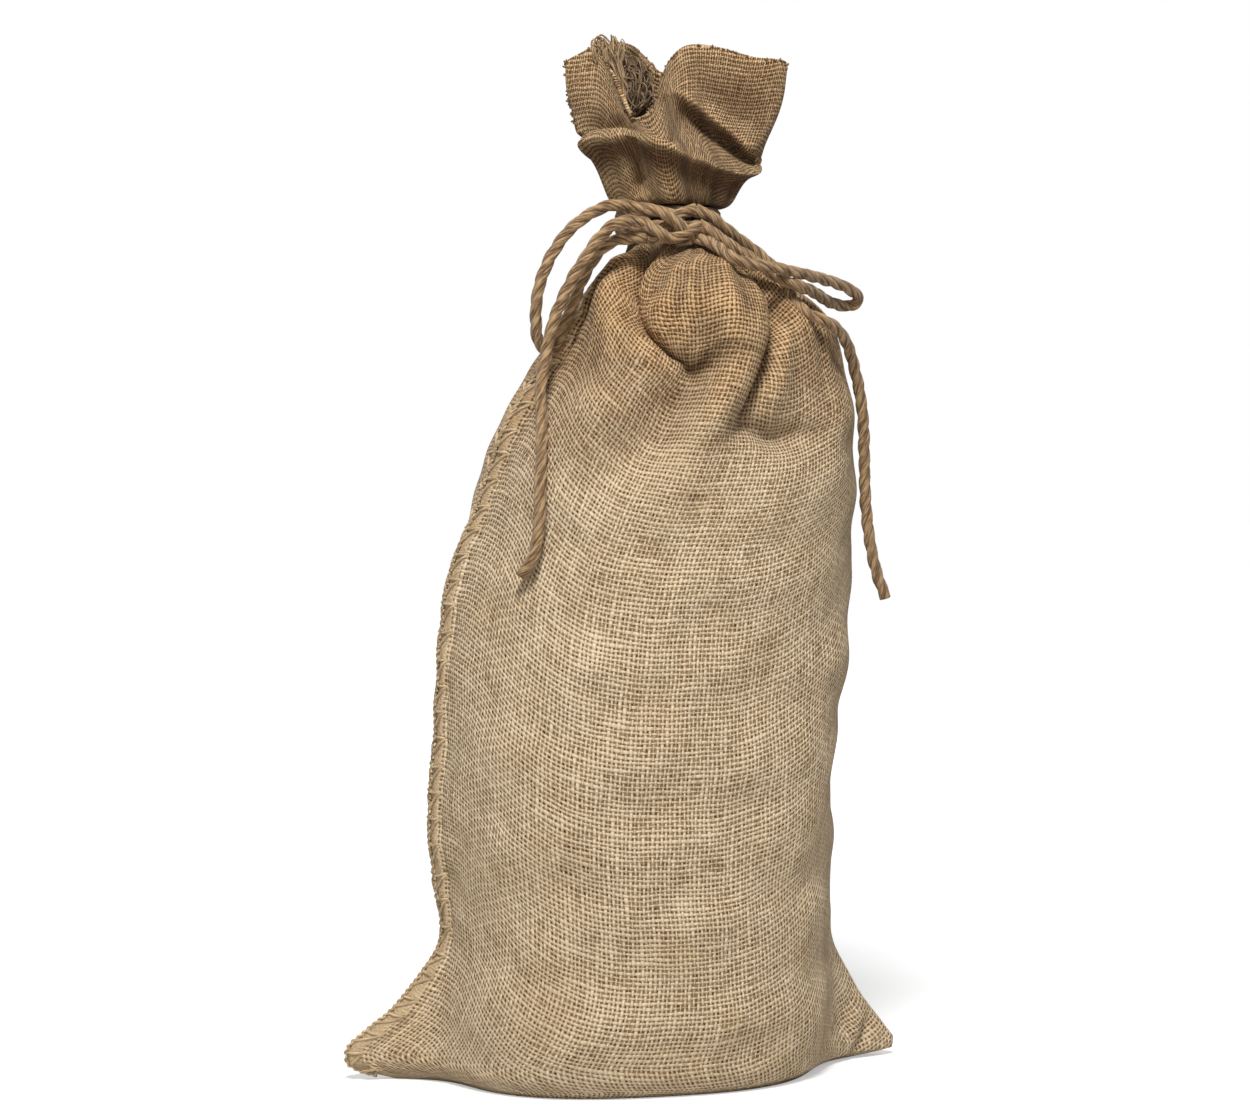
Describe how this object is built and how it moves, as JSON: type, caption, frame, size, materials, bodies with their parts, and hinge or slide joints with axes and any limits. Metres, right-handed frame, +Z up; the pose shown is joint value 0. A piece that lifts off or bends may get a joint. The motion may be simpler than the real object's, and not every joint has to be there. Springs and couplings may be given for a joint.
{
  "type": "burlap sack",
  "caption": "Filled burlap sack standing upright, its flared open mouth tied shut at the neck with a bow of jute twine.",
  "frame": {"origin": "on the floor, under the middle of the sack", "axes": "+Z up; the sewn side of the sack is at -X, and the front with the bow faces -Y"},
  "size_m": [0.3006, 0.1744, 0.5509],
  "materials": {
    "burlap": "coarse plain-woven jute, undyed",
    "twine": "three-ply jute twine, undyed"
  },
  "bodies": {
    "root": {"sack": "burlap", "tie_wrap_lower": "twine", "tie_wrap_upper": "twine", "tie_knot": "twine", "tie_loop_left": "twine", "tie_loop_right": "twine", "tie_end_left": "twine", "tie_end_right": "twine"}
  },
  "joints": []
}
